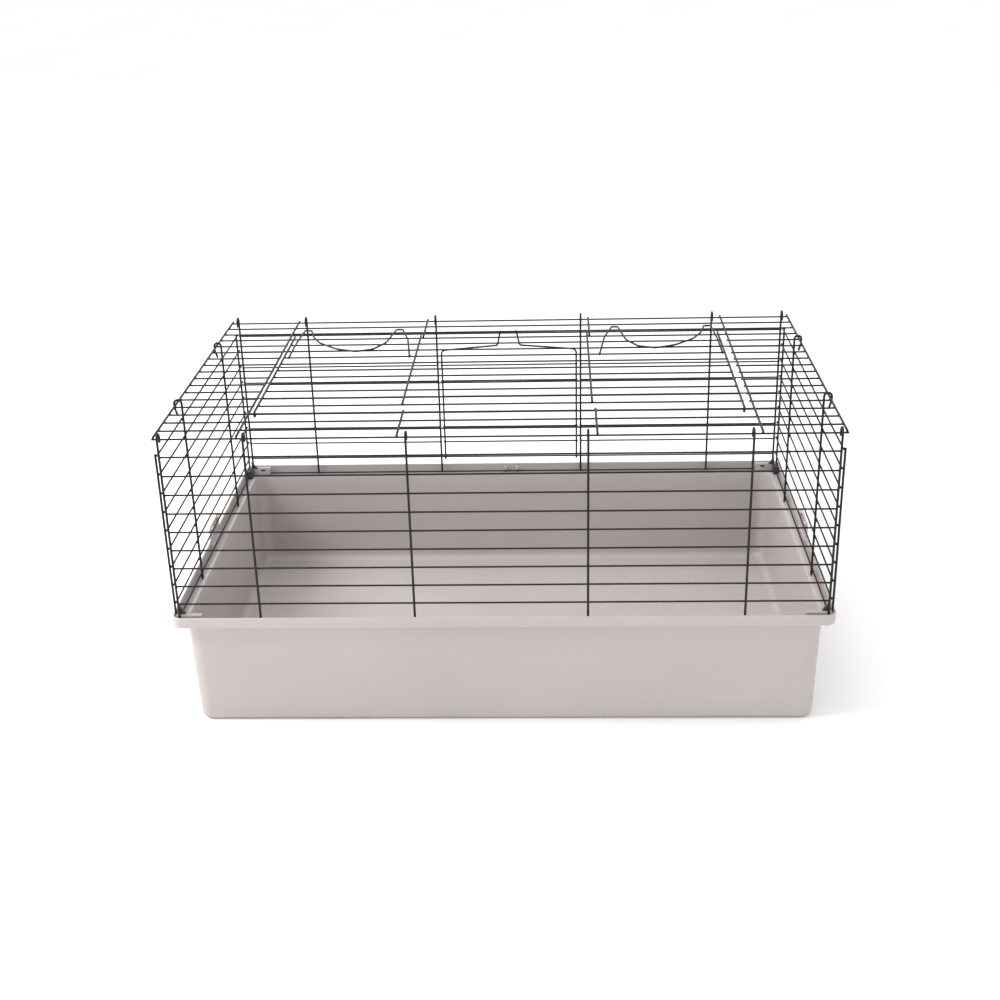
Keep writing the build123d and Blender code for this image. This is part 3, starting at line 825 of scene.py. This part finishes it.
def loft(rings):
    """A skin over closed rings of equal count, closed at both ends."""
    count = len(rings[0])
    shape = Shape()
    faces = [
        (i * count + k, i * count + (k + 1) % count, (i + 1) * count + (k + 1) % count, (i + 1) * count + k)
        for i in range(len(rings) - 1)
        for k in range(count)
    ]
    faces.append(tuple(reversed(range(count))))
    faces.append(tuple((len(rings) - 1) * count + k for k in range(count)))
    shape.add([p for r in rings for p in r], faces)
    return shape


def draw_tub():
    cuts = []
    fittings = Shape()
    for s in (-1, 1):
        xs = sorted(s * x for x in NOTCH_X)
        cuts.append(slab((xs[0], -NOTCH_HALF, LEDGE_Z), (xs[1], NOTCH_HALF, NOTCH_TOP), NOTCH_EDGE))
        for end in (-1, 1):
            xs = sorted(s * x for x in BOSS_X)
            ys = sorted(end * y for y in BOSS_Y)
            fittings.add(*slab((xs[0], ys[0], LEDGE_Z - SUNK), (xs[1], ys[1], BOSS_TOP), BOSS_EDGE))
        x, y, top = s * LUG_X, LUG_Y, LEDGE_Z + LUG_TALL
        low = (x - LUG_HALF, y - LUG_HALF, LEDGE_Z - SUNK)
        fittings.add(*slab(low, (x + LUG_HALF, y + LUG_HALF, top), LUG_EDGE))
    data = carve(loft(tub_rings()).mesh("tub_look"), cuts)
    place(join(data, fittings), "tub", sharp=TUB_SHARP)


draw_tub()

# ------------------------------------------------------------ clips and pins
PIN_X, PIN_Z, PIN_R, CLIP_HALF, CLIP_TOP = 499, LEDGE_Z + 5.8, 1.2, 31, 216
PIN_HALF = CLIP_HALF + 1 + 6 - 0.5   # through the gap and the boss, short of its end
CLIP_X, CLIP_CORNER, CLIP_EDGE = (497.6, 500.6), 6, 0.5
NOSE_X, NOSE_Y, NOSE_HALF, NOSE_LOW, NOSE_TOP = (494.0, 498.1), CLIP_HALF - 8, 6, CLIP_TOP - 11, CLIP_TOP - 2
CATCH_X, CATCH_RISE = 495, 2.5       # the nose's underside slopes up towards its tip
WINDOW_HALF, WINDOW_HIGH, WINDOW_GAP, WINDOW_EDGE = 4.5, 5, 0.6, 0.4
BARREL_SECTION = ((1.25, 0.4), (1.6, 0), (2.5, 0), (2.98, 0.5))  # radius, inset from the end
BARREL_SIDES = 20


def catch(co):
    """Moves the lower edge of a nose's tip up."""
    at_tip = abs(co[0]) < CATCH_X and co[2] < NOSE_LOW + 1
    return (co[0], co[1], co[2] + (CATCH_RISE if at_tip else 0))


def add_barrel(shape, x):
    """The clip's hollow hinge barrel, with chamfered ends."""
    profile = [(r, -CLIP_HALF + inset) for r, inset in BARREL_SECTION]
    profile += [(r, CLIP_HALF - inset) for r, inset in reversed(BARREL_SECTION)]
    verts, faces = [], []
    for r, y in profile:
        for k in range(BARREL_SIDES):
            a = 2 * math.pi * k / BARREL_SIDES
            verts.append((x + r * math.cos(a), y, PIN_Z + r * math.sin(a)))
    for i in range(len(profile)):
        j = (i + 1) % len(profile)
        for k in range(BARREL_SIDES):
            n = (k + 1) % BARREL_SIDES
            corners = ((i, n), (i, k), (j, k), (j, n))
            faces.append(tuple(row * BARREL_SIDES + column for row, column in corners))
    shape.add(verts, faces)


def draw_clip(node, s):
    """A plate with two windows, two catch noses and the hinge barrel."""
    x0, x1 = sorted(s * x for x in CLIP_X)
    outline = [(-CLIP_HALF, PIN_Z), (CLIP_HALF, PIN_Z)]
    for centre_y, start in ((CLIP_HALF - CLIP_CORNER, 0), (-CLIP_HALF + CLIP_CORNER, 90)):
        for i in range(9):
            a = math.radians(start + 90 * i / 8)
            y, z = centre_y + CLIP_CORNER * math.cos(a), CLIP_TOP - CLIP_CORNER + CLIP_CORNER * math.sin(a)
            outline.append((y, z))
    plate = Shape()
    plate.add(*prism(outline, 0, x0, x1, CLIP_EDGE))
    top = NOSE_LOW - WINDOW_GAP
    cuts = []
    small = Shape()
    nose_x = sorted(s * x for x in NOSE_X)
    for e in (-1, 1):
        y = e * NOSE_Y
        low, high = (x0 - 1, y - WINDOW_HALF, top - WINDOW_HIGH), (x1 + 1, y + WINDOW_HALF, top)
        cuts.append(slab(low, high, WINDOW_EDGE))
        low, high = (nose_x[0], y - NOSE_HALF, NOSE_LOW), (nose_x[1], y + NOSE_HALF, NOSE_TOP)
        small.add(*slab(low, high, CLIP_EDGE, catch))
    add_barrel(small, s * PIN_X)
    place(join(carve(plate.mesh("side_clip_look"), cuts), small), node)


def draw_pin(node, s):
    pin = Shape()
    path = [(s * PIN_X, -PIN_HALF + 2 * PIN_HALF * i / 8, PIN_Z) for i in range(9)]
    tube(pin, path, PIN_R, sides=20, smooth_end=0.35)
    place(pin.mesh("clip_pin_look"), node, sharp=ROUND_SHARP)


for node_name, side in (("left", -1), ("right", 1)):
    draw_clip("side_clip_" + node_name, side)
    draw_pin("clip_pin_" + node_name, side)

# ------------------------------------------------------ camera, light, floor
FOCAL_SHARE = 1.42225                # focal length over the sensor's width
SENSOR = 36
PITCH_ANGLE, YAW_ANGLE, ROLL_ANGLE = 23.92, -2.47, -1.48
CAMERA_AT = (0.08394, -2.18005, 1.21748)
LIT_POINT, WORLD_LIGHT = (0, 0, 0.2), 1.06
camera_data = bpy.data.cameras.new("camera")
camera_data.sensor_width = SENSOR
camera_data.lens = SENSOR * FOCAL_SHARE
camera_data.clip_start, camera_data.clip_end = 0.05, 60
camera = bpy.data.objects.new("camera", camera_data)
bpy.context.scene.collection.objects.link(camera)
pitch, yaw, roll = (math.radians(a) for a in (PITCH_ANGLE, YAW_ANGLE, ROLL_ANGLE))
forward = Vector((math.sin(yaw) * math.cos(pitch), math.cos(yaw) * math.cos(pitch), -math.sin(pitch)))
level = Vector((math.cos(yaw), -math.sin(yaw), 0))
over = level.cross(forward)
right = level * math.cos(roll) + over * math.sin(roll)
up = over * math.cos(roll) - level * math.sin(roll)
axes = zip(right, up, -forward, CAMERA_AT)
camera.matrix_world = Matrix((*axes, (0, 0, 0, 1)))
bpy.context.scene.camera = camera


def area_light(name, place, size, power):
    """A soft panel of light that faces the hutch."""
    data = bpy.data.lights.new(name, "AREA")
    data.shape = "RECTANGLE"
    data.size, data.size_y = size
    data.energy = power
    lamp = bpy.data.objects.new(name, data)
    bpy.context.scene.collection.objects.link(lamp)
    lamp.location = place
    lamp.rotation_mode = "QUATERNION"
    lamp.rotation_quaternion = (Vector(LIT_POINT) - Vector(place)).to_track_quat("-Z", "Y")


area_light("key", (-2.2, -0.5, 2.2), (1.3, 1.3), 62)
area_light("top", (-0.3, 0.5, 3.4), (2.6, 2.2), 31)

world = bpy.data.worlds.new("studio")
bpy.context.scene.world = world
world.use_nodes = True
background = world.node_tree.nodes["Background"]
background.inputs["Color"].default_value = (1, 1, 1, 1)
background.inputs["Strength"].default_value = WORLD_LIGHT

bpy.context.scene.view_settings.view_transform = "Standard"

sweep_mesh = bpy.data.meshes.new("floor")
plane = bmesh.new()
bmesh.ops.create_grid(plane, x_segments=8, y_segments=8, size=20)
plane.to_mesh(sweep_mesh)
plane.free()
floor = bpy.data.objects.new("floor", sweep_mesh)
bpy.context.scene.collection.objects.link(floor)
sweep_mesh.materials.append(studio_floor("floor_white"))
